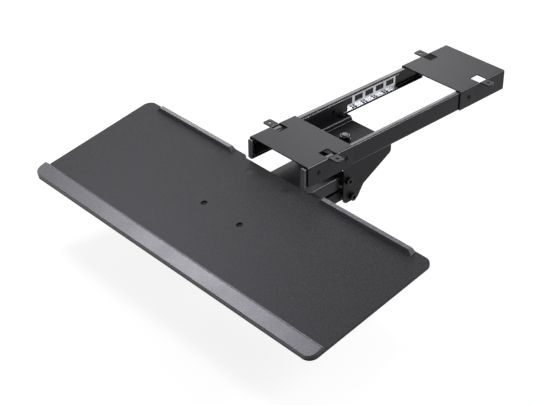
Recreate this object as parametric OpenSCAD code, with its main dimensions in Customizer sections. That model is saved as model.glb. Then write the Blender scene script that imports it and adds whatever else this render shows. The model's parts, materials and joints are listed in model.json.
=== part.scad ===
// Keyboard tray that hangs on two ball slides under a desk top.
// Millimetres. X runs to the user's right, Y to the back of the desk, Z up.
// The origin is in the middle of the four desk screw holes, on the underside of the desk top.

/* [Desk brackets] */
// Width of a bracket over its two side flanges
bracket_width = 134; // [120:0.5:150]
// Thickness of the bracket sheet
bracket_sheet = 2; // [1.5:0.1:3]
// Outside bend radius of the bracket sheet
bracket_bend = 2.5; // [2.5:0.5:5]
// Height of a bracket from the desk to the bottom edge of its flanges
bracket_height = 36; // [36:0.5:42]
// Depth of the front bracket, front to back
front_bracket_depth = 97; // [80:1:120]
// Depth of the rear bracket, front to back
rear_bracket_depth = 114.5; // [80:0.5:130]
// Distance between the screw tabs of the front and the rear bracket
tab_pitch_y = 359.5; // [340:0.5:380]
// Distance of the front bracket's tabs from its front edge
front_tab_y = 52.5; // [40:0.5:60]
// Distance of the rear bracket's tabs from its front edge
rear_tab_y = 58.5; // [40:0.5:70]
// Width of a screw tab
tab_width = 16.5; // [14:0.5:22]
// Length of a screw tab beyond the flange
tab_reach = 18.5; // [16:0.5:24]
// Distance of the tab's hole from the flange's outer face
tab_hole_offset = 10; // [8:0.5:14]
// Radius of a tab's outer corners
tab_corner = 3; // [1:0.5:5]
// Bore of the desk screw hole in a tab
tab_hole = 5.5; // [4:0.1:7]
// Length of the window beside a tab, along the slide
window_length = 20; // [18:0.5:26]
// Width of the window beside a tab, across the slide
window_width = 20.5; // [18:0.5:24]
// Distance of the first rail screw from the front edge of its bracket
first_rail_screw_y = 25; // [15:0.5:35]
// Distance between the two rail screws of the front bracket
front_rail_screw_pitch = 60; // [40:0.5:70]
// Distance between the two rail screws of the rear bracket
rear_rail_screw_pitch = 63; // [40:0.5:80]

/* [Ball slides] */
// Height of the outer rail
rail_height = 34; // [33:0.5:38]
// Depth of the outer rail, from the flange to the end of its lips
rail_depth = 9; // [9:0.1:10]
// Length of the outer rail
rail_length = 400; // [390:5:410]
// Overhang of the outer rail in front of the front bracket
rail_overhang = 4; // [0:0.5:6]
// Thickness of the outer rail's web
rail_web = 1.2; // [1:0.1:1.4]
// Outside bend radius of the outer rail
rail_bend = 3; // [2:0.5:3]
// Thickness of the rail lips that carry the balls
rail_lip = 1.4; // [1.2:0.1:1.6]
// Gap between the bracket's top plate and the rail
rail_gap = 0.3; // [0:0.1:1]
// Diameter of a bearing ball
ball_d = 4; // [3.6:0.1:4.2]
// Play between a ball and its groove
ball_play = 0.03; // [0.02:0.01:0.05]
// Depth of the ball groove in a lip
groove_depth = 0.4; // [0.3:0.05:0.5]
// Distance of the ball row from the flange's inner face
ball_inset = 5; // [4.8:0.1:5.2]
// Sheet thickness of the ball cage
cage_sheet = 0.6; // [0.5:0.1:0.7]
// Number of windows in a ball cage
cage_windows = 13; // [8:1:13]
// Distance between neighbouring windows of a ball cage
cage_pitch = 25.5; // [24:0.5:28]
// Length of a window in a ball cage
cage_window_length = 19; // [14:0.5:19]
// Height of a window in a ball cage
cage_window_height = 10.5; // [8:0.5:18]
// Width of the rim past the windows at each end of a ball cage
cage_rim = 1; // [0.5:0.5:5]
// Distance that the cage's upper strip reaches past the lip of the outer rail
cage_reach = 1.5; // [0:0.1:1.8]
// Clearance of a ball in its pocket, all round
pocket_play = 0.4; // [0.1:0.1:0.5]
// Distance between the two balls beside each bar of the cage
ball_pair_pitch = 6; // [5:0.5:7]
// Length of the lower part of the inner rail
inner_rail_length = 206; // [190:1:220]
// Length of the tongue that the inner rail's upper part ends in
inner_tongue = 11; // [6:0.5:14]
// Thickness of the rubber bumpers at the ends of the outer rail
bumper = 1.5; // [1:0.5:3]
// Distance of the ball cage behind the outer rail's front end
cage_setback = 4; // [3:0.5:8]
// Distance of the inner rail behind the outer rail's front end
inner_setback = 7; // [4:0.5:10]

/* [Carriage] */
// Distance of the carriage plate's front edge from the front bracket's front edge
carriage_setback = 95; // [80:1:100]
// Length of the carriage plate, front to back
carriage_length = 106.5; // [90:0.5:115]
// Sheet thickness of the carriage and of the saddle
carriage_sheet = 2; // [1.5:0.1:2.5]
// Height of the carriage plate's ledges, below the desk
ledge_drop = 30; // [28:0.5:31]
// Width of a ledge, between the slide bracket and the step
ledge_width = 14.5; // [12:0.5:18]
// Height of the step between the ledges and the middle panel
step_drop = 7; // [5:0.5:8]
// Run of the sloping step across the carriage
step_run = 3; // [1:0.5:5]
// Height of the slide bracket's upright leg
slide_bracket_height = 25; // [20:0.5:25]
// Width of the slide bracket's flat leg
slide_bracket_width = 11.5; // [10:0.5:12]

// Distance of the first side screw behind the carriage plate's front edge
carriage_screw_setback = 20; // [14:0.5:26]
// Distance between the two side screws of a slide bracket
carriage_screw_pitch = 62; // [50:0.5:66]
// Distance of the first ledge screw behind the carriage plate's front edge
ledge_screw_setback = 25; // [14:0.5:30]
// Distance between the two ledge screws of a slide bracket
ledge_screw_pitch = 69; // [50:0.5:72]

/* [Saddle] */
// Outside width of the saddle
saddle_width = 108; // [100:1:110]
// Length of the saddle, front to back
saddle_length = 109; // [95:0.5:115]
// Distance of the saddle's front edge behind the front bracket's front edge
saddle_setback = 91.5; // [88:0.5:95]
// Height of the saddle's side plates
saddle_height = 73.7; // [70:0.1:80]
// Height of the side plates at their rear end
saddle_rear_height = 17.5; // [14:0.5:24]
// Length of the side plates' bottom edge
saddle_foot = 32.5; // [28:0.5:40]
// Thickness of the disc between the carriage and the saddle
swivel_disc = 1; // [0.8:0.1:2]
// Diameter of the disc between the carriage and the saddle
swivel_disc_d = 64; // [40:1:66]
// Diameter of the swivel bolt
swivel_bolt_d = 10; // [8:0.5:12]
// Distance of the swivel axis behind the front bracket's front edge
swivel_setback = 147; // [140:0.5:155]

/* [Arm] */
// Length of the spacers between the arm and the saddle's side plates
arm_spacer = 6; // [4:0.5:10]
// Sheet thickness of the arm channels
arm_sheet = 2; // [1.5:0.1:2.5]
// Distance between the rear and the front pivot of the arm
arm_length = 135; // [125:1:150]
// Slope of the arm, front end down
arm_slope = 1.5; // [0:0.5:4]
// Distance of the upper pivot behind the saddle's front edge
upper_pivot_y = 9.5; // [9:0.5:14]
// Height of the upper pivot below the desk
upper_pivot_drop = 71.5; // [68:0.5:74]
// Distance of the lower pivot behind the upper one
link_offset_y = 9.5; // [6:0.5:14]
// Height of the lower pivot below the upper one
link_offset_z = 33.5; // [32:0.5:36]
// Height of the upper arm's top above its pivots
arm_top = 7; // [6:0.5:8]
// Height of the upper arm's bottom edge below its pivots
arm_bottom = 15; // [12:0.5:16]
// Height of the lower link's top above its pivots
link_top = 13; // [10:0.5:14]
// Height of the lower link's bottom edge below its pivots
link_bottom = 7; // [6:0.5:8]
// Distance from an end pivot to the end of an arm
arm_lug = 8; // [7:0.5:9]
// Diameter of the pivot bolts
pivot_d = 8; // [6:0.5:8]
// Outside diameter of the spacers and of the sleeves in the arm
spacer_d = 14; // [11:0.5:16]

/* [Tray head] */
// Distance of the tilt axis in front of the tray's rear edge
tilt_axis_v = 36; // [34:0.5:40]
// Distance of the tilt axis below the tray's top surface
tilt_axis_drop = 11; // [10:0.5:12]
// Distance of the clamp bolt in front of the tray's rear edge
clamp_v = 102; // [98:0.5:108]
// Distance of the clamp bolt below the tray's top surface
clamp_drop = 26; // [24:0.5:28]
// Swing of the tray from its steepest tilt towards level
tilt_swing = 8; // [4:0.5:10]
// Diameter of the tilt pivot bolt
tilt_bolt_d = 6; // [5:0.5:6]
// Diameter of the clamp bolt
clamp_bolt_d = 8; // [6:0.5:8]
// Diameter of the clamp knob
knob_d = 30; // [24:1:32]
// Thickness of the clamp knob
knob_height = 14; // [10:0.5:18]

/* [Tray] */
// Width of the tray
tray_width = 650; // [600:5:700]
// Depth of the tray, front to back
tray_depth = 248; // [240:1:280]
// Thickness of the tray sheet
tray_sheet = 2; // [1.5:0.1:2.5]
// Height of the tray's turned-down edge
tray_edge = 4.5; // [4:0.1:6]
// Corner radius of the tray
tray_corner = 15; // [10:0.5:25]
// Tilt of the tray, front edge down
tray_tilt = 10.25; // [8:0.25:12]
// Height of the tray's rear edge below the desk
tray_drop = 39.5; // [39.5:0.5:42]
// Width of the notch in the rear edge
notch_width = 148; // [120:1:160]
// Depth of the notch in the rear edge
notch_depth = 5; // [4:0.5:8]
// Distance between the two rows of holes across the tray
hole_pitch_x = 83; // [78:0.5:86]
// Distance of the screw holes in front of the rear edge
screw_v = 25.5; // [24:0.5:26]
// Distance of the spare holes in front of the rear edge
spare_v = 121; // [116:0.5:124]
// Bore of a spare hole
spare_d = 10.5; // [6:0.5:12]
// Distance of the weld studs in front of the rear edge
stud_v = 84; // [78:0.5:86]
// Depth of the palm rest, front to back
palm_depth = 28.5; // [24:0.5:36]
// Height of the palm rest along its front edge
palm_front = 5; // [3:0.5:6]
// Height of the palm rest along its rear edge
palm_rear = 9; // [7:0.5:9]
// Radius of the palm rest's rear top edge
palm_round = 5; // [3:0.5:6]
// Distance from the middle of the tray to the inner end of a rear stop
stop_inner_x = 100; // [96:1:110]
// Distance from a rear stop's outer end to the tray's side edge
stop_margin = 34; // [20:1:60]
// Depth of a rear stop at its foot
stop_depth = 11; // [8:0.5:14]
// Height of a rear stop
stop_height = 8; // [5:0.5:9]
// Length of the bevel at each end of a rear stop
stop_bevel = 6; // [2:0.5:10]

/* [Hidden] */
$fn = 64;
// Overlap that cutters run past the faces that they cut
over = 1;
// Radial running fit of a bolt or pin in its hole
fit = 0.05;
// Side gap between pieces that move against each other
gap = 0.3;
// Diametral clearance of the clamp bolt in its slot
slot_play = 0.3;
// Step between the slot's curved walls and its round ends
slot_seam = 0.02;
// Step at the ends of a rounding that points into its polygon
bend_seam = 0.02;
// Inside bend radius of folded sheet
inner_bend = 1;

// Depth of the relief cuts beside a tab
tab_relief = bracket_bend + inner_bend;

// Places across the slide, from the middle
flange_x = bracket_width / 2 - bracket_sheet;
ball_x = flange_x - ball_inset;
rail_lip_x = flange_x - rail_depth;
cage_web_x = flange_x - rail_web - 0.4;
cage_upper_x = rail_lip_x - cage_reach;
cage_lower_x = ball_x - ball_d / 2 - 0.8;
inner_web_x = ball_x - ball_d / 2 - 1.2 - rail_lip;
inner_flange_x = cage_web_x - cage_sheet - 0.6;
slide_bracket_x = inner_web_x - carriage_sheet;

// Heights in the slide
rail_top = -bracket_sheet - rail_gap;
rail_mid = rail_top - rail_height / 2;
ball_reach = ball_d / 2 + ball_play - groove_depth;
ball_row = rail_height / 2 - rail_lip - ball_reach;
inner_half = ball_row - ball_reach;

// Places along the slide; the front bracket's front edge is the reference
front_y = -front_tab_y - tab_pitch_y / 2;
rear_bracket_y = tab_pitch_y / 2 - rear_tab_y;
rail_front_y = front_y - rail_overhang;
rail_rear_y = rail_front_y + rail_length;

// Bearing cage and inner rail, at the front end of their travel
cage_front_y = rail_front_y + cage_setback;
cage_length = cage_windows * cage_pitch + 2 * cage_rim;
inner_front_y = rail_front_y + inner_setback;
inner_rear_y = inner_front_y + inner_rail_length;

// Carriage
ledge_z = -ledge_drop;
panel_z = ledge_z - step_drop;
carriage_front_y = front_y + carriage_setback;
carriage_rear_y = carriage_front_y + carriage_length;
ledge_inner_x = slide_bracket_x - ledge_width;
panel_half = ledge_inner_x - step_run;
slide_bracket_bottom = ledge_z - 2 * carriage_sheet;
slide_bracket_front_y = carriage_front_y + 5;
slide_bracket_length = carriage_length - 8.5;
carriage_screw_y = [for (k = [0, 1]) carriage_front_y + carriage_screw_setback + k * carriage_screw_pitch];
ledge_screw_y = [for (k = [0, 1]) carriage_front_y + ledge_screw_setback + k * ledge_screw_pitch];
ledge_screw_x = slide_bracket_x - 5.5;

// Saddle
swivel_y = front_y + swivel_setback;
disc_top = panel_z - carriage_sheet - gap;
saddle_top = disc_top - swivel_disc;
saddle_front_y = front_y + saddle_setback;
saddle_rear_y = saddle_front_y + saddle_length;
saddle_bottom = saddle_top - saddle_height;
saddle_inner = saddle_width / 2 - carriage_sheet;
upper_y = saddle_front_y + upper_pivot_y;
upper_z = -upper_pivot_drop;
lower_y = upper_y + link_offset_y;
lower_z = upper_z - link_offset_z;
arm_dy = -arm_length * cos(arm_slope);
arm_dz = -arm_length * sin(arm_slope);
arm_width = 2 * (saddle_inner - arm_spacer);

// Tray head, in the tray's own frame and in the part's frame
tilt_y = front_y - tilt_axis_v * cos(tray_tilt) + tilt_axis_drop * sin(tray_tilt);
tilt_z = -tray_drop - tilt_axis_v * sin(tray_tilt) - tilt_axis_drop * cos(tray_tilt);
clamp_y = front_y - clamp_v * cos(tray_tilt) + clamp_drop * sin(tray_tilt);
clamp_z = -tray_drop - clamp_v * sin(tray_tilt) - clamp_drop * cos(tray_tilt);
clamp_radius = norm([clamp_v - tilt_axis_v, clamp_drop - tilt_axis_drop]);
clamp_angle = 180 + atan2(clamp_drop - tilt_axis_drop, clamp_v - tilt_axis_v);
head_inner = saddle_inner;
head_outer = saddle_width / 2;
head_lug = 9;
head_rear_y = upper_y + arm_dy + 9.5;
head_front_y = clamp_y - 12;
head_bottom = clamp_z - 24;
head_web_rear_y = head_front_y + 56;
foot_y = lower_y + arm_dy;
foot_z = lower_z + arm_dz;
tilt_plate_half = head_inner - 0.5;
tilt_plate_rear_v = 10;
tilt_plate_front_v = 135;
tilt_plate_top = -tray_sheet;
tilt_plate_deep = clamp_drop + clamp_radius * sin(tilt_swing) + 8.5;

// Fasteners
clamp_bolt_reach = 12;
cap_head_d = 13;
cap_head = 6;
nut_8 = 6.5;
nut_8_flats = 13;
nut_6 = 5;
nut_6_flats = 10;
screw_6_d = 6;
nut_end = 0.5;
csk_d = 11.8;
csk_sink = 0.4;
csk_depth = 2.9;

steel_black = [0.16, 0.16, 0.17];
steel_grey = [0.33, 0.33, 0.35];
plated = [0.82, 0.82, 0.84];
rubber_grey = [0.45, 0.45, 0.46];
plastic_black = [0.1, 0.1, 0.11];

// Helpers

function unit(v) = v / norm(v);
function corner_angle(p, i) =
    let (n = len(p), a = unit(p[(i + n - 1) % n] - p[i]), b = unit(p[(i + 1) % n] - p[i]))
    acos(max(-1, min(1, a * b)));
function corner_cut(p, r, i) = r[i] / tan(corner_angle(p, i) / 2);
function corner_centre(p, r, i) =
    let (n = len(p), a = unit(p[(i + n - 1) % n] - p[i]), b = unit(p[(i + 1) % n] - p[i]))
    p[i] + unit(a + b) * r[i] / sin(corner_angle(p, i) / 2);

// Polygon p with its corners rounded by the radii in r; a radius of 0 leaves a corner sharp,
// and a negative one rounds a corner that points into the polygon
module rounded_polygon(p, r) {
    n = len(p);
    size = [for (radius = r) abs(radius)];
    difference() {
        union() {
            polygon([for (i = [0:n - 1], side = [-1, 1])
                if (size[i] > 0 || side > 0)
                    size[i] > 0
                        ? p[i] + unit(p[(i + n + side) % n] - p[i]) * corner_cut(p, size, i)
                        : p[i]]);
            for (i = [0:n - 1])
                if (r[i] > 0)
                    translate(corner_centre(p, size, i))
                        circle(r[i]);
        }
        for (i = [0:n - 1])
            if (r[i] < 0)
                translate(corner_centre(p, size, i))
                    circle(size[i] - bend_seam);
    }
}

// Extrudes an outline given in X and Z along Y, from y0 to y1
module along_y(y0, y1) {
    translate([0, y1, 0])
        rotate([90, 0, 0])
            linear_extrude(y1 - y0)
                children();
}

// Extrudes an outline given in Y and Z along X, from x0 to x1
module along_x(x0, x1) {
    translate([x0, 0, 0])
        rotate([90, 0, 90])
            linear_extrude(x1 - x0)
                children();
}

// Round bar along X
module bar_x(x0, x1, y, z, d) {
    translate([x0, y, z])
        rotate([0, 90, 0])
            cylinder(h = x1 - x0, d = d);
}

// Hexagon along X, given by its width over the flats
module hex_x(x0, x1, y, z, flats) {
    translate([x0, y, z])
        rotate([0, 90, 0])
            cylinder(h = x1 - x0, d = flats / cos(30), $fn = 6);
}

// Draws its children for the left and for the right slide
module both_sides() {
    children();
    mirror([1, 0, 0])
        children();
}

// The tray's own frame: origin in the middle of its rear edge, Z square to its top
module on_tray() {
    translate([0, front_y, -tray_drop])
        rotate([tray_tilt, 0, 0])
            children();
}

// The frame of an arm that turns about the pivot at y, z
module on_arm(y, z) {
    translate([0, y, z])
        rotate([arm_slope, 0, 0])
            children();
}

// Inverted channel outline in X and Z, with rounded bends at its top
module channel(half, top, bottom, sheet, bend) {
    difference() {
        rounded_polygon([[-half, bottom], [half, bottom], [half, top], [-half, top]],
            [0, 0, bend, bend]);
        rounded_polygon([[-half + sheet, bottom - over], [half - sheet, bottom - over],
            [half - sheet, top - sheet], [-half + sheet, top - sheet]],
            [0, 0, inner_bend, inner_bend]);
    }
}

// Desk brackets

// Screw tab that the flange's top edge is bent out into, leaving its window in the top plate
module tab() {
    inner = flange_x;
    half = bracket_width / 2;
    outer = half + tab_reach;
    low = -tab_relief - over;
    intersection() {
        along_y(-tab_width / 2, tab_width / 2)
            difference() {
                rounded_polygon([[inner, low], [outer, low], [outer, 0], [inner, 0]],
                    [0, 0, 0, bracket_bend]);
                rounded_polygon([[half, low - over], [outer + over, low - over],
                    [outer + over, -bracket_sheet], [half, -bracket_sheet]],
                    [0, 0, 0, inner_bend]);
            }
        translate([0, 0, low - over])
            linear_extrude(2 * over - low)
                rounded_polygon([[inner - over, -tab_width / 2], [outer, -tab_width / 2],
                    [outer, tab_width / 2], [inner - over, tab_width / 2]],
                    [0, tab_corner, tab_corner, 0]);
    }
}

module bracket(y0, depth, tab_y, screw_pitch) {
    half = bracket_width / 2;
    difference() {
        union() {
            difference() {
                along_y(y0, y0 + depth)
                    channel(half, 0, -bracket_height, bracket_sheet, bracket_bend);
                both_sides()
                    translate([flange_x - window_width, y0 + tab_y - window_length / 2,
                        -tab_relief])
                        cube([window_width + bracket_sheet + over, window_length,
                            tab_relief + over]);
            }
            both_sides()
                translate([0, y0 + tab_y, 0])
                    tab();
        }
        both_sides() {
            translate([half + tab_hole_offset, y0 + tab_y, -bracket_sheet - over])
                cylinder(h = bracket_sheet + 2 * over, d = tab_hole);
            for (k = [0, 1])
                bar_x(flange_x - over, half + over,
                    y0 + first_rail_screw_y + k * screw_pitch, rail_mid,
                    rail_screw_d + 2 * fit);
        }
    }
}

rail_screw_d = 4;
rail_screw_head = 7.5;

module front_bracket() {
    color(steel_grey)
        bracket(front_y, front_bracket_depth, front_tab_y, front_rail_screw_pitch);
}

module rear_bracket() {
    color(steel_grey)
        bracket(rear_bracket_y, rear_bracket_depth, rear_tab_y, rear_rail_screw_pitch);
}

// Places of the rail screws, along Y; the rear bracket's last hole is for a longer rail
function rail_screw_places() = [
    front_y + first_rail_screw_y,
    front_y + first_rail_screw_y + front_rail_screw_pitch,
    rear_bracket_y + first_rail_screw_y
];

module rail_screws() {
    color(steel_black)
        both_sides()
            for (y = rail_screw_places())
                difference() {
                    union() {
                        bar_x(flange_x - rail_web, bracket_width / 2, y, rail_mid,
                            rail_screw_d);
                        bar_x(bracket_width / 2, bracket_width / 2 + 1.6, y, rail_mid,
                            rail_screw_head);
                    }
                    hex_x(bracket_width / 2 + 0.4, bracket_width / 2 + 1.6 + over, y,
                        rail_mid, 3);
                }
}

// Ball slides

// Ball grooves of the upper and lower row, as circles in the slide's section
module ball_grooves() {
    for (side = [-1, 1])
        translate([ball_x, rail_mid + side * ball_row])
            circle(ball_d / 2 + ball_play);
}

module outer_rail_section() {
    half = rail_height / 2;
    difference() {
        rounded_polygon([[rail_lip_x, rail_mid - half], [flange_x, rail_mid - half],
            [flange_x, rail_mid + half], [rail_lip_x, rail_mid + half]],
            [0.5, rail_bend, rail_bend, 0.5]);
        rounded_polygon([[rail_lip_x - over, rail_mid - half + rail_lip],
            [flange_x - rail_web, rail_mid - half + rail_lip],
            [flange_x - rail_web, rail_mid + half - rail_lip],
            [rail_lip_x - over, rail_mid + half - rail_lip]],
            [0, rail_bend - rail_web, rail_bend - rail_web, 0]);
        ball_grooves();
    }
}

module outer_rail() {
    color(steel_black)
        difference() {
            along_y(rail_front_y, rail_rear_y)
                outer_rail_section();
            for (y = rail_screw_places())
                bar_x(flange_x - rail_web - over, flange_x + over, y, rail_mid,
                    rail_screw_d + 2 * fit);
        }
}

module outer_rail_right() {
    outer_rail();
}

module outer_rail_left() {
    mirror([1, 0, 0])
        outer_rail();
}

// Rubber bumpers: a cover on each rail end, with a plug in the rail
module bumper_section(margin) {
    half = rail_height / 2 - margin;
    rounded_polygon([[rail_lip_x + margin, rail_mid - half], [flange_x - margin, rail_mid - half],
        [flange_x - margin, rail_mid + half], [rail_lip_x + margin, rail_mid + half]],
        [1, rail_bend - 1, rail_bend - 1, 1]);
}

module rail_bumpers() {
    color(rubber_grey)
        both_sides() {
            along_y(rail_front_y - bumper, rail_front_y)
                bumper_section(0);
            along_y(rail_front_y - over, rail_front_y + over)
                bumper_section(rail_lip + 0.2);
            along_y(rail_rear_y, rail_rear_y + bumper)
                bumper_section(0);
            along_y(rail_rear_y - over, rail_rear_y + over)
                bumper_section(rail_lip + 0.2);
        }
}

module cage_section() {
    half = ball_row + cage_sheet / 2;
    difference() {
        rounded_polygon([[cage_upper_x, rail_mid - half], [cage_web_x, rail_mid - half],
            [cage_web_x, rail_mid + half], [cage_upper_x, rail_mid + half]],
            [0, 1, 1, 0]);
        translate([cage_upper_x - over, rail_mid - half + cage_sheet])
            square([cage_web_x - cage_upper_x - cage_sheet + over, 2 * (half - cage_sheet)]);
        translate([cage_upper_x - over, rail_mid - half - over])
            square([cage_lower_x - cage_upper_x + over, cage_sheet + 2 * over]);
    }
}

// Middles of the bars between the cage's windows, along Y
function cage_bar(i) =
    cage_front_y + (cage_length - cage_windows * cage_pitch) / 2 + i * cage_pitch;

module ball_cage() {
    color(plated)
        difference() {
            along_y(cage_front_y, cage_front_y + cage_length)
                cage_section();
            for (i = [0:cage_windows - 1])
                translate([cage_web_x - cage_sheet - over,
                    cage_bar(i) + (cage_pitch - cage_window_length) / 2,
                    rail_mid - cage_window_height / 2])
                    cube([cage_sheet + 2 * over, cage_window_length, cage_window_height]);
            for (i = [1:cage_windows - 1], k = [-0.5, 0.5])
                translate([ball_x, cage_bar(i) + k * ball_pair_pitch,
                    rail_mid - rail_height / 2])
                    cylinder(h = rail_height, d = ball_d + 2 * pocket_play);
        }
}

module ball_cage_right() {
    ball_cage();
}

module ball_cage_left() {
    mirror([1, 0, 0])
        ball_cage();
}

module bearing_balls() {
    color(plated)
        for (i = [1:cage_windows - 1], k = [-0.5, 0.5], side = [-1, 1])
            translate([ball_x, cage_bar(i) + k * ball_pair_pitch, rail_mid + side * ball_row])
                sphere(d = ball_d);
}

module bearing_balls_right() {
    bearing_balls();
}

module bearing_balls_left() {
    mirror([1, 0, 0])
        bearing_balls();
}

module inner_rail_section() {
    difference() {
        rounded_polygon([[inner_web_x, rail_mid - inner_half], [inner_flange_x, rail_mid - inner_half],
            [inner_flange_x, rail_mid + inner_half], [inner_web_x, rail_mid + inner_half]],
            [1.5, 0, 0, 1.5]);
        translate([inner_web_x + rail_lip, rail_mid - inner_half + rail_lip])
            square([inner_flange_x - inner_web_x, 2 * (inner_half - rail_lip)]);
        ball_grooves();
    }
}

module inner_rail() {
    color(steel_black)
        difference() {
            along_y(inner_front_y, inner_rear_y + inner_tongue)
                inner_rail_section();
            translate([inner_web_x - over, inner_rear_y, rail_mid - inner_half - over])
                cube([inner_flange_x - inner_web_x + 2 * over, inner_tongue + over,
                    inner_half + over]);
            for (y = carriage_screw_y)
                bar_x(inner_web_x - over, inner_web_x + rail_lip + over, y, rail_mid,
                    rail_screw_d + 2 * fit);
        }
}

module inner_rail_right() {
    inner_rail();
}

module inner_rail_left() {
    mirror([1, 0, 0])
        inner_rail();
}

// Carriage

// Angle between the inner rail's web and the carriage plate's ledge
module slide_bracket() {
    top = slide_bracket_bottom + slide_bracket_height;
    inner = slide_bracket_x - slide_bracket_width;
    color(steel_black)
        difference() {
            along_y(slide_bracket_front_y, slide_bracket_front_y + slide_bracket_length)
                difference() {
                    rounded_polygon([[inner, slide_bracket_bottom],
                        [inner_web_x, slide_bracket_bottom], [inner_web_x, top], [inner, top]],
                        [0, bracket_bend, 0, 0]);
                    rounded_polygon([[inner - over, slide_bracket_bottom + carriage_sheet],
                        [slide_bracket_x, slide_bracket_bottom + carriage_sheet],
                        [slide_bracket_x, top + over], [inner - over, top + over]],
                        [0, inner_bend, 0, 0]);
                }
            for (y = carriage_screw_y)
                bar_x(slide_bracket_x - over, inner_web_x + over, y, rail_mid,
                    rail_screw_d + 2 * fit);
            for (y = ledge_screw_y)
                translate([ledge_screw_x, y, slide_bracket_bottom - over])
                    cylinder(h = carriage_sheet + 2 * over, d = ledge_screw_d + 2 * fit);
        }
}

ledge_screw_d = 5;

module slide_bracket_right() {
    slide_bracket();
}

module slide_bracket_left() {
    mirror([1, 0, 0])
        slide_bracket();
}

// The carriage's hat section, filled below: ledge, sloping step, middle panel, step and ledge;
// drop lowers it, shift moves its steps out, and its two bends have the radii ledge_r and panel_r
module hat(end, low, drop, shift, ledge_r, panel_r) {
    right = [[end, low], [end, ledge_z - drop], [ledge_inner_x + shift, ledge_z - drop],
        [panel_half + shift, panel_z - drop]];
    bends = [0, 0, ledge_r, -panel_r];
    last = len(right) - 1;
    rounded_polygon(concat(right, [for (i = [last:-1:0]) [-right[i][0], right[i][1]]]),
        concat(bends, [for (i = [last:-1:0]) bends[i]]));
}

module carriage_section() {
    t = carriage_sheet;
    end = slide_bracket_x - inner_bend - 0.1;
    low = panel_z - t - over;
    difference() {
        hat(end, low, 0, 0, inner_bend + t, inner_bend);
        hat(end + over, low - over, t, t * (norm([step_run, step_drop]) - step_run) / step_drop,
            inner_bend, inner_bend + t);
    }
}

module carriage_plate() {
    color(steel_grey)
        difference() {
            along_y(carriage_front_y, carriage_rear_y)
                carriage_section();
            translate([0, swivel_y, panel_z - carriage_sheet - over])
                cylinder(h = carriage_sheet + 2 * over, d = swivel_bolt_d + 2 * fit);
            both_sides()
                for (y = ledge_screw_y)
                    translate([ledge_screw_x, y, ledge_z - carriage_sheet - over])
                        cylinder(h = carriage_sheet + 2 * over, d = ledge_screw_d + 2 * fit);
        }
}

module carriage_screws() {
    color(steel_black)
        both_sides()
            for (y = carriage_screw_y)
                difference() {
                    union() {
                        bar_x(slide_bracket_x, inner_web_x + rail_lip, y, rail_mid, rail_screw_d);
                        bar_x(slide_bracket_x - 2.6, slide_bracket_x, y, rail_mid, 8);
                    }
                    hex_x(slide_bracket_x - 2.6 - over, slide_bracket_x - 1, y, rail_mid, 3);
                }
}

module ledge_screws() {
    color(steel_black)
        both_sides()
            for (y = ledge_screw_y)
                translate([ledge_screw_x, y, 0])
                    difference() {
                        union() {
                            translate([0, 0, slide_bracket_bottom - 4.5])
                                cylinder(h = ledge_z - slide_bracket_bottom + 4.5,
                                    d = ledge_screw_d);
                            translate([0, 0, ledge_z])
                                cylinder(h = 3, d = 8.5);
                        }
                        translate([0, 0, ledge_z + 1])
                            cylinder(h = 2 + over, d = 4, $fn = 6);
                    }
}

module ledge_nuts() {
    color(steel_black)
        both_sides()
            for (y = ledge_screw_y)
                translate([ledge_screw_x, y, slide_bracket_bottom - 4])
                    difference() {
                        cylinder(h = 4, d = 8 / cos(30), $fn = 6);
                        translate([0, 0, -over])
                            cylinder(h = 4 + 2 * over, d = ledge_screw_d);
                    }
}

swivel_washer_t = 1.5;

module swivel_washer() {
    color(plated)
        translate([0, swivel_y, panel_z])
            difference() {
                cylinder(h = swivel_washer_t, d = 21);
                translate([0, 0, -over])
                    cylinder(h = swivel_washer_t + 2 * over, d = swivel_bolt_d + 2 * fit);
            }
}

// Saddle

module saddle_side() {
    rounded_polygon([
        [saddle_front_y, saddle_top],
        [saddle_front_y, saddle_bottom],
        [saddle_front_y + saddle_foot, saddle_bottom],
        [saddle_front_y + saddle_foot + 13.5, saddle_bottom + 21.5],
        [saddle_rear_y, saddle_top - saddle_rear_height],
        [saddle_rear_y, saddle_top]
    ], [0, 9, 7, 0, 7, 0]);
}

// Bolt holes of the two pivots on one side or through both walls
module pivot_holes(x0, x1, dy, dz) {
    bar_x(x0, x1, upper_y + dy, upper_z + dz, pivot_d + 2 * fit);
    bar_x(x0, x1, lower_y + dy, lower_z + dz, pivot_d + 2 * fit);
}

module saddle() {
    half = saddle_width / 2;
    color(steel_grey)
        difference() {
            intersection() {
                along_y(saddle_front_y, saddle_rear_y)
                    channel(half, saddle_top, saddle_bottom, carriage_sheet, bracket_bend);
                along_x(-half, half)
                    saddle_side();
            }
            pivot_holes(-half - over, half + over, 0, 0);
            translate([0, swivel_y, saddle_top - carriage_sheet - over])
                cylinder(h = carriage_sheet + 2 * over, d = swivel_bolt_d + 2 * fit);
        }
}

module swivel_disc_pad() {
    color(plastic_black)
        translate([0, swivel_y, saddle_top])
            difference() {
                cylinder(h = swivel_disc, d = swivel_disc_d);
                translate([0, 0, -over])
                    cylinder(h = swivel_disc + 2 * over, d = swivel_bolt_d + 2 * fit);
            }
}

swivel_nut_z = panel_z + swivel_washer_t + 0.2;
swivel_nut_h = 6.5;

module swivel_bolt() {
    color(steel_black)
        translate([0, swivel_y, 0]) {
            translate([0, 0, saddle_top - carriage_sheet])
                cylinder(h = swivel_nut_z + swivel_nut_h + 2 - saddle_top + carriage_sheet,
                    d = swivel_bolt_d);
            translate([0, 0, saddle_top - carriage_sheet - 6])
                cylinder(h = 6, d = 17 / cos(30), $fn = 6);
        }
}

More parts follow.
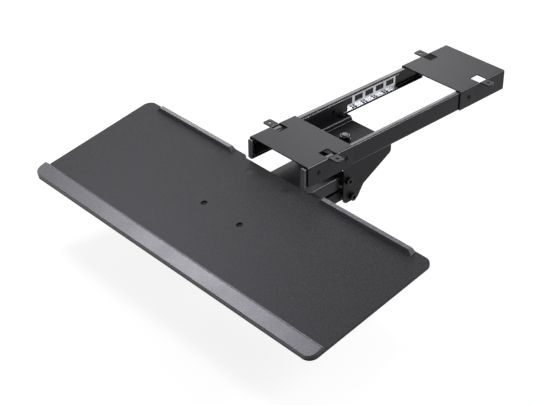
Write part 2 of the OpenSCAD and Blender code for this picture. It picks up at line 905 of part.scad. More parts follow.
// Lock nut: a hexagon under a round collar
module swivel_nut() {
    color(steel_black)
        translate([0, swivel_y, swivel_nut_z])
            difference() {
                union() {
                    cylinder(h = swivel_nut_h, d = 17 / cos(30), $fn = 6);
                    translate([0, 0, swivel_nut_h])
                        cylinder(h = 1.8, d1 = 16, d2 = 13.5);
                }
                translate([0, 0, -over])
                    cylinder(h = swivel_nut_h + 1.8 + 2 * over, d = swivel_bolt_d);
            }
}

// Two cap screws across the arm, their heads on the right
module pivot_bolts(dy, dz) {
    half = saddle_width / 2;
    for (p = [[upper_y + dy, upper_z + dz], [lower_y + dy, lower_z + dz]])
        difference() {
            union() {
                bar_x(-half - nut_8 - 1.5, half, p[0], p[1], pivot_d);
                bar_x(half, half + cap_head, p[0], p[1], cap_head_d);
            }
            hex_x(half + cap_head - 3.5, half + cap_head + over, p[0], p[1], 6);
        }
}

module pivot_nuts(dy, dz) {
    half = saddle_width / 2;
    for (p = [[upper_y + dy, upper_z + dz], [lower_y + dy, lower_z + dz]])
        difference() {
            hex_x(-half - nut_8, -half, p[0], p[1], nut_8_flats);
            bar_x(-half - nut_8 - over, -half + over, p[0], p[1], pivot_d);
        }
}

module pivot_spacers(dy, dz) {
    both_sides()
        for (p = [[upper_y + dy, upper_z + dz], [lower_y + dy, lower_z + dz]])
            difference() {
                bar_x(arm_width / 2 + gap, saddle_inner, p[0], p[1], spacer_d);
                bar_x(arm_width / 2 - over, saddle_inner + over, p[0], p[1],
                    pivot_d + 2 * fit);
            }
}

module rear_pivot_bolts() {
    color(steel_black)
        pivot_bolts(0, 0);
}

module rear_pivot_nuts() {
    color(steel_black)
        pivot_nuts(0, 0);
}

module rear_pivot_spacers() {
    color(plastic_black)
        pivot_spacers(0, 0);
}

// Arm

// Channel with rounded ends, its web cut away by end_top on both sides of each pivot
module arm_channel(top, bottom, end_top) {
    half = arm_width / 2;
    difference() {
        intersection() {
            along_y(-arm_length - arm_lug, arm_lug)
                channel(half, top, -bottom, arm_sheet, bracket_bend);
            along_x(-half, half)
                rounded_polygon([[-arm_length - arm_lug, -bottom], [arm_lug, -bottom],
                    [arm_lug, top], [-arm_length - arm_lug, top]],
                    [arm_lug * 0.8, arm_lug * 0.8, arm_lug * 0.8, arm_lug * 0.8]);
        }
        for (s = [0, -arm_length])
            translate([-half + arm_sheet, s - end_top, top - arm_sheet - over])
                cube([arm_width - 2 * arm_sheet, 2 * end_top, arm_sheet + 2 * over]);
    }
}

// Arm channel with a sleeve across it at each end, bored for the pivot bolt
module bored_arm(top, bottom, end_top) {
    half = arm_width / 2;
    difference() {
        union() {
            arm_channel(top, bottom, end_top);
            for (s = [0, -arm_length])
                bar_x(-half + arm_sheet / 2, half - arm_sheet / 2, s, 0, spacer_d);
        }
        for (s = [0, -arm_length])
            bar_x(-half - over, half + over, s, 0, pivot_d + 2 * fit);
    }
}

end_opening = 11;
cross_pin_s = 9;
cross_pin_drop = 10.5;
cross_pin_d = 5;

module upper_arm() {
    color(steel_grey)
        on_arm(upper_y, upper_z)
            difference() {
                bored_arm(arm_top, arm_bottom, end_opening);
                bar_x(-arm_width, arm_width, -cross_pin_s, -cross_pin_drop, cross_pin_d);
            }
}

module arm_cross_pin() {
    color(plated)
        on_arm(upper_y, upper_z)
            bar_x(-arm_width / 2 - 3, arm_width / 2 + 3, -cross_pin_s, -cross_pin_drop,
                cross_pin_d);
}

module lower_link() {
    color(steel_grey)
        on_arm(lower_y, lower_z)
            mirror([0, 0, 1])
                bored_arm(link_bottom, link_top, end_opening);
}

// Tray head

module head_side() {
    rounded_polygon([
        [foot_y + head_lug, foot_z - head_lug],
        [foot_y + head_lug, foot_z + 11.5],
        [head_rear_y, foot_z + 24.5],
        [head_rear_y, tilt_z + 7.2],
        [head_front_y, tilt_z - 7.1],
        [head_front_y, head_bottom],
        [head_web_rear_y, head_bottom],
        [foot_y - head_lug, foot_z - head_lug]
    ], [8.5, 5, 0, 6, 6, 6, 0, 8.5]);
}

module head_bracket() {
    color(steel_grey)
        difference() {
            intersection() {
                union() {
                    along_y(head_front_y, head_web_rear_y)
                        mirror([0, 1])
                            channel(head_outer, -head_bottom, -tilt_z - 10, carriage_sheet,
                                bracket_bend);
                    both_sides()
                        translate([head_inner, head_web_rear_y - over, foot_z - head_lug - over])
                            cube([carriage_sheet, foot_y + head_lug - head_web_rear_y + 2 * over,
                                tilt_z - foot_z + head_lug + 12]);
                }
                along_x(-head_outer, head_outer)
                    head_side();
            }
            pivot_holes(-head_outer - over, head_outer + over, arm_dy, arm_dz);
            bar_x(-head_outer - over, head_outer + over, tilt_y, tilt_z,
                tilt_bolt_d + 2 * fit);
            bar_x(-head_outer - over, head_outer + over, clamp_y, clamp_z,
                clamp_bolt_d + 2 * fit);
        }
}

module front_pivot_bolts() {
    color(steel_black)
        pivot_bolts(arm_dy, arm_dz);
}

module front_pivot_nuts() {
    color(steel_black)
        pivot_nuts(arm_dy, arm_dz);
}

module front_pivot_spacers() {
    color(plastic_black)
        pivot_spacers(arm_dy, arm_dz);
}

module tilt_pivot_bolt() {
    color(steel_black) {
        bar_x(-head_outer - nut_6 - 1, head_outer, tilt_y, tilt_z, tilt_bolt_d);
        hex_x(head_outer, head_outer + 4, tilt_y, tilt_z, nut_6_flats);
    }
}

module tilt_pivot_nut() {
    color(steel_black)
        difference() {
            hex_x(-head_outer - nut_6, -head_outer, tilt_y, tilt_z, nut_6_flats);
            bar_x(-head_outer - nut_6 - over, -head_outer + over, tilt_y, tilt_z,
                tilt_bolt_d);
        }
}

module clamp_bolt() {
    color(steel_black) {
        bar_x(-head_outer, head_outer + clamp_bolt_reach, clamp_y, clamp_z, clamp_bolt_d);
        hex_x(-head_outer - 5.3, -head_outer, clamp_y, clamp_z, nut_8_flats);
    }
}

module clamp_tube() {
    length = tilt_plate_half - carriage_sheet - gap;
    color(steel_black)
        difference() {
            bar_x(-length, length, clamp_y, clamp_z, 12);
            bar_x(-length - over, length + over, clamp_y, clamp_z, clamp_bolt_d);
        }
}

// Five-lobed hand knob with a blind bore
module clamp_knob() {
    lobes = 5;
    x0 = head_outer + gap;
    color(plastic_black)
        difference() {
            union() {
                bar_x(x0, x0 + 4, clamp_y, clamp_z, 16);
                bar_x(x0 + 3, x0 + knob_height, clamp_y, clamp_z, knob_d);
            }
            for (i = [0:lobes - 1])
                translate([0, clamp_y, clamp_z])
                    rotate([i * 360 / lobes, 0, 0])
                        bar_x(x0 + 2, x0 + knob_height + over, 0, knob_d / 2 + 2.5, 12);
            bar_x(x0 - over, head_outer + clamp_bolt_reach + gap, clamp_y, clamp_z,
                clamp_bolt_d + 2 * fit);
        }
}

// Tray, drawn in its own frame: Y runs back, so a distance v in front of the rear edge is -v

module clamp_slot() {
    half = (clamp_bolt_d + slot_play) / 2;
    spread = clamp_radius * 1.5;
    translate([-tilt_axis_v, -tilt_axis_drop]) {
        intersection() {
            difference() {
                circle(clamp_radius + half - slot_seam, $fn = 128);
                circle(clamp_radius - half + slot_seam, $fn = 128);
            }
            polygon([[0, 0],
                spread * [cos(clamp_angle), sin(clamp_angle)],
                spread * [cos(clamp_angle + tilt_swing), sin(clamp_angle + tilt_swing)]]);
        }
        for (a = [clamp_angle, clamp_angle + tilt_swing])
            translate(clamp_radius * [cos(a), sin(a)])
                circle(half);
    }
}

module tilt_plate_side() {
    rounded_polygon([
        [-tilt_plate_rear_v, tilt_plate_top],
        [-tilt_plate_front_v, tilt_plate_top],
        [-tilt_plate_front_v, -16],
        [-clamp_v - 15, -tilt_plate_deep],
        [-clamp_v + 18, -tilt_plate_deep],
        [-clamp_v + 40, -18],
        [-tilt_plate_rear_v, -16]
    ], [0, 0, 6, 8, 8, 0, 6]);
}

// Bore for a countersunk screw through the tray and the tilt plate
module countersink() {
    translate([0, 0, -csk_depth - csk_sink])
        cylinder(h = csk_depth, d1 = screw_6_d + 2 * fit, d2 = csk_d);
    translate([0, 0, -csk_sink])
        cylinder(h = csk_sink + over, d = csk_d);
    translate([0, 0, -3 * tray_sheet])
        cylinder(h = 3 * tray_sheet, d = screw_6_d + 2 * fit);
}

module tilt_plate() {
    t = carriage_sheet;
    color(steel_black)
        on_tray()
            difference() {
                intersection() {
                    along_y(-tilt_plate_front_v, -tilt_plate_rear_v)
                        channel(tilt_plate_half, tilt_plate_top, -tilt_plate_deep - over, t,
                            bracket_bend);
                    along_x(-tilt_plate_half, tilt_plate_half)
                        tilt_plate_side();
                }
                along_x(-tilt_plate_half - over, tilt_plate_half + over)
                    clamp_slot();
                bar_x(-tilt_plate_half - over, tilt_plate_half + over, -tilt_axis_v,
                    -tilt_axis_drop, tilt_bolt_d + 2 * fit);
                for (side = [-1, 1]) {
                    translate([side * hole_pitch_x / 2, -screw_v, 0])
                        countersink();
                    translate([side * hole_pitch_x / 2, -stud_v, tilt_plate_top - t - over])
                        cylinder(h = t + 2 * over, d = screw_6_d + 2 * fit);
                }
            }
}

// Outline of the tray, drawn smaller by inset all round
module tray_outline(inset) {
    w = tray_width / 2 - inset;
    d = tray_depth - inset;
    n = notch_width / 2 + inset;
    m = notch_depth + inset;
    rounded_polygon([[-w, -d], [w, -d], [w, -inset], [n, -inset], [n, -m], [-n, -m],
        [-n, -inset], [-w, -inset]],
        [tray_corner - inset, tray_corner - inset, tray_corner - inset, notch_depth - 0.2, 0,
            0, notch_depth - 0.2, tray_corner - inset]);
}

module tray_panel() {
    color(steel_grey)
        on_tray()
            difference() {
                translate([0, 0, -tray_edge])
                    linear_extrude(tray_edge)
                        tray_outline(0);
                translate([0, 0, -tray_edge - over])
                    linear_extrude(tray_edge - tray_sheet + over)
                        tray_outline(tray_sheet);
                for (side = [-1, 1]) {
                    translate([side * hole_pitch_x / 2, -screw_v, 0])
                        countersink();
                    translate([side * hole_pitch_x / 2, -spare_v, -tray_sheet - over])
                        cylinder(h = tray_sheet + 2 * over, d = spare_d);
                }
            }
}

module palm_rest() {
    front = -tray_depth;
    rear = -tray_depth + palm_depth;
    color(steel_grey)
        on_tray()
            intersection() {
                linear_extrude(palm_rear)
                    tray_outline(0);
                along_x(-tray_width / 2, tray_width / 2)
                    rounded_polygon([[front, 0], [rear, 0], [rear, palm_rear], [front, palm_front]],
                        [0, 0, palm_round, 1]);
            }
}

// Strip along the rear edge that keeps things from sliding off
module rear_stop() {
    x0 = stop_inner_x;
    x1 = tray_width / 2 - stop_margin;
    color(plastic_black)
        on_tray()
            intersection() {
                along_x(x0, x1)
                    rounded_polygon([[-0.5 - stop_depth, 0], [-0.5, 0], [-2.5, stop_height],
                        [1.5 - stop_depth, stop_height]],
                        [0, 0, 1, 1]);
                along_y(-stop_depth - over, over)
                    polygon([[x0, 0], [x1, 0], [x1 - stop_bevel, stop_height],
                        [x0 + stop_bevel, stop_height]]);
            }
}

module rear_stop_right() {
    rear_stop();
}

module rear_stop_left() {
    mirror([1, 0, 0])
        rear_stop();
}

module tray_screws() {
    color(steel_black)
        on_tray()
            for (side = [-1, 1])
                translate([side * hole_pitch_x / 2, -screw_v, 0]) {
                    translate([0, 0, -csk_depth - csk_sink])
                        cylinder(h = csk_depth, d1 = screw_6_d, d2 = csk_d - 2 * fit);
                    translate([0, 0, -tray_sheet - carriage_sheet - nut_6 - nut_end])
                        cylinder(h = tray_sheet + carriage_sheet + nut_6 + nut_end - csk_sink - over,
                            d = screw_6_d);
                }
}

// Weld studs under the tray
module tray_studs() {
    color(plated)
        on_tray()
            for (side = [-1, 1])
                translate([side * hole_pitch_x / 2, -stud_v,
                    -tray_sheet - carriage_sheet - nut_6 - nut_end])
                    cylinder(h = carriage_sheet + nut_6 + nut_end, d = screw_6_d);
}

module tray_nuts() {
    color(plated)
        on_tray()
            for (side = [-1, 1], v = [screw_v, stud_v])
                translate([side * hole_pitch_x / 2, -v, -tray_sheet - carriage_sheet - nut_6])
                    difference() {
                        cylinder(h = nut_6, d = nut_6_flats / cos(30), $fn = 6);
                        translate([0, 0, -over])
                            cylinder(h = nut_6 + 2 * over, d = screw_6_d);
                    }
}

front_bracket();
rear_bracket();
outer_rail_left();
outer_rail_right();
rail_bumpers();
rail_screws();
ball_cage_left();
ball_cage_right();
bearing_balls_left();
bearing_balls_right();
inner_rail_left();
inner_rail_right();
slide_bracket_left();
slide_bracket_right();
carriage_plate();
carriage_screws();
ledge_screws();
ledge_nuts();
swivel_washer();
saddle();
swivel_disc_pad();
swivel_bolt();
swivel_nut();
rear_pivot_bolts();
rear_pivot_nuts();
rear_pivot_spacers();
upper_arm();
arm_cross_pin();
lower_link();
head_bracket();
front_pivot_bolts();
front_pivot_nuts();
front_pivot_spacers();
tilt_pivot_bolt();
tilt_pivot_nut();
clamp_bolt();
clamp_tube();
clamp_knob();
tilt_plate();
tray_panel();
palm_rest();
rear_stop_left();
rear_stop_right();
tray_screws();
tray_studs();
tray_nuts();
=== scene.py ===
"""Looks for the keyboard tray: materials, light, floor and camera, in metres in the CAD part's frame."""

import json
import math

import bmesh
import bpy
from mathutils import Matrix, Vector


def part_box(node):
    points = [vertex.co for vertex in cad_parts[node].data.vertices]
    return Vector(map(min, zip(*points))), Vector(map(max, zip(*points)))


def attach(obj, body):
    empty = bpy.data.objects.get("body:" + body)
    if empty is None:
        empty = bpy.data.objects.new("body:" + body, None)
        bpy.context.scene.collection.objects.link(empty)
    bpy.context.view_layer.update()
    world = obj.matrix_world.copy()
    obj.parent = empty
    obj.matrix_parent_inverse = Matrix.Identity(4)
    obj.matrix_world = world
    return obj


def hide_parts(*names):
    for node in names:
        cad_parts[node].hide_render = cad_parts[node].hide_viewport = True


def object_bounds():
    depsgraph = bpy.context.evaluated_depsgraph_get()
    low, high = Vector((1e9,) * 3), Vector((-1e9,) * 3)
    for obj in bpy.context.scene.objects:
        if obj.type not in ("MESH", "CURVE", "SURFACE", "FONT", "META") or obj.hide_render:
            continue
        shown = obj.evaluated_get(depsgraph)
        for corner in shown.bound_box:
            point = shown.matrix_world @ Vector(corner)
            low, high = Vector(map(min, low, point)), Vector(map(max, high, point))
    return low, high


MM = 0.001

# Rear ends of the arm's and the link's webs, which the CAD webs stop short of
ARM_SLOPE = math.radians(1.5)
WEB_THICKNESS = 2 * MM
WEB_SIDE_GAP = 2.5 * MM
WEB_FRONT = 11.6 * MM
WEB_REAR = 6.4 * MM
WEB_CORNER = 4.0 * MM
WEB_EDGE = 0.35 * MM
CORNER_STEPS = 6

# Lock nut
NUT_FLATS = 17 * MM
NUT_BORE = 10 * MM
NUT_COLLAR_RISE = 1.8 * MM
NUT_SEGMENTS = 96
NUT_CHAMFER = math.radians(30)
SHARP_EDGE = math.radians(25)

# Camera, solved from the photograph's straight edges
CAMERA_AT = Vector((1.30286, -1.42985, 1.06693))
CAMERA_RIGHT = Vector((0.675008, 0.737762, -0.008386))
CAMERA_UP = Vector((-0.399972, 0.375454, 0.836096))
CAMERA_FORWARD = Vector((-0.619989, 0.561017, -0.548519))
FOCAL_PX = 1329.41
IMAGE_WIDTH_PX = 540
SENSOR_MM = 36

# Finishes: the share and grey of a painted highlight along bends, and the cool tint of the gloss
BEND_HIGHLIGHT_SHARE = 0.35
BEND_HIGHLIGHT_GREY = 0.40
COOL_GLOSS = (0.92, 0.895, 1.0, 1)

# Floor and light; the floor lies low enough to clear the head at full lift
FLOOR_DROP = 80 * MM
FLOOR_SIZE = 12.0
FLOOR_GLOW = 0.86
SKY_STRENGTH = 0.27
BACKGROUND_RAYS = ["Is Camera Ray", "Is Glossy Ray", "Is Transmission Ray"]

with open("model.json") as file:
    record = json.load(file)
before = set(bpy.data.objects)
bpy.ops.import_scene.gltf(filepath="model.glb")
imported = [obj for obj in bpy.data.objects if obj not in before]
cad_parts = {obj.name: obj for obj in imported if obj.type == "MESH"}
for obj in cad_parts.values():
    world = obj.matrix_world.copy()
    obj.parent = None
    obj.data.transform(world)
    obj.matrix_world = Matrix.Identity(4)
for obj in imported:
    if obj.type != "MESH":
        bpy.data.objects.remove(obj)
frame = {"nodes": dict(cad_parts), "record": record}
cad_low, cad_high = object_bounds()
nodes = frame["nodes"]
record = frame["record"]


# Node helpers


class Shader:
    """A material's node tree, with short calls for the nodes that the materials here share."""

    def __init__(self, name):
        self.material = bpy.data.materials.new(name)
        self.material.use_nodes = True
        self.tree = self.material.node_tree
        self.surface = self.tree.nodes["Principled BSDF"]
        self.surface.inputs["Specular Tint"].default_value = COOL_GLOSS
        coordinates = self.node("ShaderNodeTexCoord")
        self.place = coordinates.outputs["Object"]
        self.facing = coordinates.outputs["Normal"]

    def node(self, kind, **inputs):
        made = self.tree.nodes.new(kind)
        for key, value in inputs.items():
            made.inputs[key.replace("_", " ")].default_value = value
        return made

    def link(self, output, target):
        self.tree.links.new(output, target)

    def set(self, **values):
        for key, value in values.items():
            self.surface.inputs[key.replace("_", " ")].default_value = value

    def noise(self, scale, detail=2.0, roughness=0.5, place=None):
        made = self.node("ShaderNodeTexNoise", Scale=scale, Detail=detail, Roughness=roughness)
        self.link(place or self.place, made.inputs["Vector"])
        return made.outputs["Fac"]

    def stretched(self, x, y, z):
        """Object coordinates scaled by x, y and z, for marks that run one way."""
        made = self.node("ShaderNodeMapping")
        made.inputs["Scale"].default_value = (x, y, z)
        self.link(self.place, made.inputs["Vector"])
        return made.outputs["Vector"]

    def ramp(self, value, stops):
        made = self.node("ShaderNodeValToRGB")
        ramp = made.color_ramp
        while len(ramp.elements) < len(stops):
            ramp.elements.new(0.5)
        for element, (at, colour) in zip(ramp.elements, stops):
            element.position = at
            element.color = (*colour, 1)
        self.link(value, made.inputs["Fac"])
        return made.outputs["Color"]

    def remap(self, value, low, high, start=0.0, end=1.0):
        made = self.node("ShaderNodeMapRange")
        for key, number in (("From Min", start), ("From Max", end), ("To Min", low), ("To Max", high)):
            made.inputs[key].default_value = number
        self.link(value, made.inputs["Value"])
        return made.outputs["Result"]

    def mix(self, factor, a, b):
        made = self.node("ShaderNodeMix")
        made.data_type = "RGBA"
        self.link(factor, made.inputs["Factor"])
        for socket, colour in ((made.inputs[6], a), (made.inputs[7], b)):
            if isinstance(colour, tuple):
                socket.default_value = (*colour, 1)
            else:
                self.link(colour, socket)
        return made.outputs[2]

    def bump(self, height, strength, distance, base=None):
        made = self.node("ShaderNodeBump", Strength=strength, Distance=distance)
        self.link(height, made.inputs["Height"])
        if base is not None:
            self.link(base, made.inputs["Normal"])
        return made.outputs["Normal"]

    def math(self, operation, a, b):
        made = self.node("ShaderNodeMath")
        made.operation = operation
        for socket, value in zip(made.inputs, (a, b)):
            if isinstance(value, (int, float)):
                socket.default_value = value
            else:
                self.link(value, socket)
        return made.outputs["Value"]

    def axes(self):
        """The x, y and z parts of the object's own surface normal."""
        made = self.node("ShaderNodeSeparateXYZ")
        self.link(self.facing, made.inputs["Vector"])
        return made.outputs["X"], made.outputs["Y"], made.outputs["Z"]

    def bends(self):
        """1 halfway round a bend between an upright wall and a level one, 0 on both walls."""
        across, _, up = self.axes()
        both = self.math("MULTIPLY", self.math("MULTIPLY", across, up), 2.0)
        return self.remap(self.math("ABSOLUTE", both, 0.0), 0.0, 1.0, 0.76, 0.92)

    def edges(self, radius):
        """1 on sharp outside and inside edges, 0 on flat faces."""
        rounded = self.node("ShaderNodeBevel", Radius=radius)
        rounded.samples = 4
        flat = self.node("ShaderNodeNewGeometry").outputs["Normal"]
        dot = self.node("ShaderNodeVectorMath")
        dot.operation = "DOT_PRODUCT"
        self.link(rounded.outputs["Normal"], dot.inputs[0])
        self.link(flat, dot.inputs[1])
        return self.remap(dot.outputs["Value"], 1.0, 0.0, 0.8, 0.998), rounded.outputs["Normal"]


def grey(level):
    """Grey with the faint cool cast that the photograph's blacks have."""
    return (level * 0.98, level * 0.955, level * 1.08)


# Materials


def powder_coat(name, level, rough, grain=1.0, edge=1.6, specular=0.25, relief=0.10, bend=0.20,
                contrast=0.3):
    """Fine-textured black powder coat: small bumps, faint speckle, glossier bends, a painted highlight of
    light grey along the bends, and lighter edges that are partly wear and partly painted highlight.
    """
    s = Shader(name)
    fine = s.noise(1500 * grain, 3.0, 0.6)
    coarse = s.noise(420 * grain, 2.0, 0.5)
    cloud = s.noise(7.0, 3.0, 0.55)
    speckle = s.ramp(fine, [(0.38, grey(level * (1 - contrast))), (0.50, grey(level)),
                            (0.64, grey(level * (1 + 2 * contrast)))])
    patchy = s.mix(s.remap(cloud, 0.0, 0.35, 0.3, 0.7), speckle, grey(level * 1.06))
    edge_mask, rounded = s.edges(0.7 * MM)
    bent = s.bends()
    # painted highlight: light grey mixed into the colour along the bends
    bend_highlighted = s.mix(s.math("MULTIPLY", bent, BEND_HIGHLIGHT_SHARE), patchy, grey(BEND_HIGHLIGHT_GREY))
    # edges lightened in colour, partly wear and partly painted highlight
    s.link(s.mix(edge_mask, bend_highlighted, grey(level * edge)), s.surface.inputs["Base Color"])
    flat = s.remap(fine, rough - 0.06, rough + 0.07, 0.3, 0.7)
    polish = s.math("MULTIPLY", bent, rough - bend)
    s.link(s.math("SUBTRACT", flat, polish), s.surface.inputs["Roughness"])
    orange_peel = s.bump(coarse, relief, 0.12 * MM, rounded)
    s.link(s.bump(fine, 0.16, 0.05 * MM, orange_peel), s.surface.inputs["Normal"])
    s.set(Specular_IOR_Level=specular)
    return s.material


def smooth_black(name, level, rough, specular=0.3):
    """Smooth black finish with faint handling marks, a painted highlight of light grey along the bends,
    and lighter edges that are partly wear and partly painted highlight.
    """
    s = Shader(name)
    smear = s.noise(35.0, 4.0, 0.6, s.stretched(1.0, 0.25, 1.0))
    dust = s.noise(900.0, 2.0, 0.6)
    colour = s.ramp(dust, [(0.35, grey(level * 0.85)), (0.65, grey(level * 1.1)),
                           (0.82, grey(level * 1.8))])
    edge_mask, rounded = s.edges(0.4 * MM)
    # painted highlight: light grey mixed into the colour along the bends
    colour = s.mix(s.math("MULTIPLY", s.bends(), BEND_HIGHLIGHT_SHARE), colour, grey(BEND_HIGHLIGHT_GREY))
    # edges lightened in colour, partly wear and partly painted highlight
    s.link(s.mix(edge_mask, colour, grey(level * 2.2)), s.surface.inputs["Base Color"])
    s.link(s.remap(smear, rough - 0.08, rough + 0.10, 0.3, 0.7), s.surface.inputs["Roughness"])
    s.link(s.bump(dust, 0.05, 0.03 * MM, rounded), s.surface.inputs["Normal"])
    s.set(Specular_IOR_Level=specular)
    return s.material


def zinc(name):
    """Bright zinc plate with fine drawing lines along the slide."""
    s = Shader(name)
    lines = s.noise(1800.0, 3.0, 0.6, s.stretched(1.0, 0.02, 1.0))
    stain = s.noise(60.0, 4.0, 0.6)
    colour = s.ramp(stain, [(0.3, (0.42, 0.43, 0.45)), (0.6, (0.55, 0.56, 0.58)),
                            (0.85, (0.66, 0.67, 0.69))])
    edge_mask, rounded = s.edges(0.5 * MM)
    s.link(s.mix(edge_mask, colour, (0.22, 0.22, 0.24)), s.surface.inputs["Base Color"])
    s.link(s.remap(lines, 0.22, 0.42, 0.3, 0.7), s.surface.inputs["Roughness"])
    s.link(s.bump(lines, 0.08, 0.04 * MM, rounded), s.surface.inputs["Normal"])
    s.set(Metallic=0.85)
    return s.material


def moulded(name, level, rough, scale, specular=0.5, side=None, relief=0.14):
    """Moulded plastic or rubber with a fine spark texture and lighter edges that are partly wear and
    partly painted highlight; side is the level painted on its upright faces as shade, so the top stands
    lighter as if lit.
    """
    s = Shader(name)
    spark = s.noise(scale, 3.0, 0.65)
    broad = s.noise(22.0, 2.0, 0.5)
    colour = s.ramp(spark, [(0.38, grey(level * 0.6)), (0.50, grey(level)), (0.64, grey(level * 1.6))])
    edge_mask, rounded = s.edges(0.6 * MM)
    # edges lightened in colour, partly wear and partly painted highlight
    colour = s.mix(edge_mask, colour, grey(level * 1.7))
    if side is not None:
        # painted shade: upright faces take the darker side level, so the top reads as lit
        upright = s.remap(s.axes()[2], 1.0, 0.0, 0.35, 0.75)
        colour = s.mix(upright, colour, grey(side))
    s.link(colour, s.surface.inputs["Base Color"])
    s.link(s.remap(broad, rough - 0.015, rough + 0.02, 0.3, 0.7), s.surface.inputs["Roughness"])
    s.link(s.bump(spark, relief, 0.06 * MM, rounded), s.surface.inputs["Normal"])
    s.set(Specular_IOR_Level=specular)
    return s.material


COAT = powder_coat("powder_coat", 0.006, 0.44, specular=0.16)
# darker, duller copy of the powder coat on the tilt plate: painted shade for the dark insides of the
# tray's holes above it
TILT_SHADE_COAT = powder_coat("tilt_shade_coat", 0.005, 0.55, specular=0.1)
CARRIAGE_COAT = powder_coat("carriage_coat", 0.004, 0.46, specular=0.08)
ARM_COAT = powder_coat("arm_coat", 0.009, 0.42, specular=0.26)
TRAY_COAT = powder_coat("tray_coat", 0.016, 0.44, 0.35, specular=0.17, relief=0.9, contrast=0.6)
BRACKET_COAT = powder_coat("bracket_coat", 0.009, 0.42, 0.9, specular=0.18)
SLIDE = smooth_black("slide_steel", 0.005, 0.20, 0.16)
OXIDE = smooth_black("black_oxide", 0.004, 0.30, 0.22)
NUT_BLACK = smooth_black("nut_black", 0.004, 0.17, 0.30)
# bearing balls painted near-black: painted shade of their pockets in place of bright steel
SHADED_BALL_STEEL = smooth_black("shaded_ball_steel", 0.03, 0.14, 0.6)
ZINC = zinc("zinc_plate")
RUBBER = moulded("bumper_rubber", 0.16, 0.5, 700.0)
NYLON = moulded("nylon", 0.020, 0.45, 900.0)
# stop and palm strip: tops lighter than their upright faces, a painted sheen over painted shade
STOP = moulded("stop_strip", 0.12, 0.26, 600.0, specular=0.44, side=0.095)
PALM = moulded("palm_strip", 0.062, 0.35, 500.0, specular=0.4, side=0.006, relief=0.3)

BY_SLOT = {
    "powder_coat": COAT,
    "zinc_plate": ZINC,
    "black_oxide": OXIDE,
    "slide_steel": SLIDE,
    "bumper_rubber": RUBBER,
    "nylon": NYLON,
    "palm_foam": PALM,
}
BY_NODE = {
    "tray_panel": TRAY_COAT,
    "tilt_plate": TILT_SHADE_COAT,
    "swivel_washer": OXIDE,
    "carriage_plate": CARRIAGE_COAT,
    "upper_arm": ARM_COAT,
    "front_bracket": BRACKET_COAT,
    "rear_bracket": BRACKET_COAT,
    "rear_stop_left": STOP,
    "bearing_balls_left": SHADED_BALL_STEEL,
    "bearing_balls_right": SHADED_BALL_STEEL,
    "rear_stop_right": STOP,
}


def dress_nodes():
    slot_of = {part["node"]: part["material_slot"] for part in record["subparts"]}
    for name, node in nodes.items():
        material = BY_NODE.get(name, BY_SLOT[slot_of[name]])
        for slot in node.material_slots:
            slot.material = material


# Pieces


def web_end(name, arm, body, pivot_y, pivot_z, h_low):
    """The end of an arm's web, a rounded plate that reaches past the sleeve of the rear pivot."""
    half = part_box(arm)[1][0] - WEB_SIDE_GAP
    along = Vector((0, math.cos(ARM_SLOPE), math.sin(ARM_SLOPE)))
    up = Vector((0, -math.sin(ARM_SLOPE), math.cos(ARM_SLOPE)))
    pivot = Vector((0, pivot_y, pivot_z)) * MM
    outline = [(-half, -WEB_FRONT), (half, -WEB_FRONT)]
    for side in (1, -1):
        turns = range(CORNER_STEPS + 1) if side > 0 else range(CORNER_STEPS, -1, -1)
        for turn in turns:
            angle = math.radians(90) * turn / CORNER_STEPS
            outline.append((side * (half - WEB_CORNER + WEB_CORNER * math.cos(angle)),
                            WEB_REAR - WEB_CORNER + WEB_CORNER * math.sin(angle)))
    made = bmesh.new()
    base = [made.verts.new(pivot + Vector((x, 0, 0)) + along * s + up * h_low * MM) for x, s in outline]
    face = made.faces.new(base)
    lifted = bmesh.ops.extrude_face_region(made, geom=[face])["geom"]
    top = [vertex for vertex in lifted if isinstance(vertex, bmesh.types.BMVert)]
    bmesh.ops.translate(made, vec=up * WEB_THICKNESS, verts=top)
    bmesh.ops.recalc_face_normals(made, faces=made.faces)
    bmesh.ops.bevel(made, geom=list(made.edges), offset=WEB_EDGE, segments=2, affect="EDGES")
    return add_piece(name, made, ARM_COAT, "powder_coat", body)


def add_piece(name, made, material, slot, body, *replaced):
    """A bmesh as an object that rides on a body, in place of the CAD nodes in replaced."""
    mesh = bpy.data.meshes.new(name)
    made.to_mesh(mesh)
    made.free()
    piece = bpy.data.objects.new(name, mesh)
    bpy.context.collection.objects.link(piece)
    mesh.materials.append(material)
    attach(piece, body)
    if replaced:
        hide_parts(*replaced)
    return piece


def ring_of(made, radius_at, height_at, centre, segments):
    """A closed ring of vertices round a vertical axis."""
    ring = []
    for step in range(segments):
        angle = 2 * math.pi * step / segments
        radius = radius_at(angle)
        ring.append(made.verts.new(centre + Vector((
            radius * math.cos(angle), radius * math.sin(angle), height_at(radius)))))
    return ring


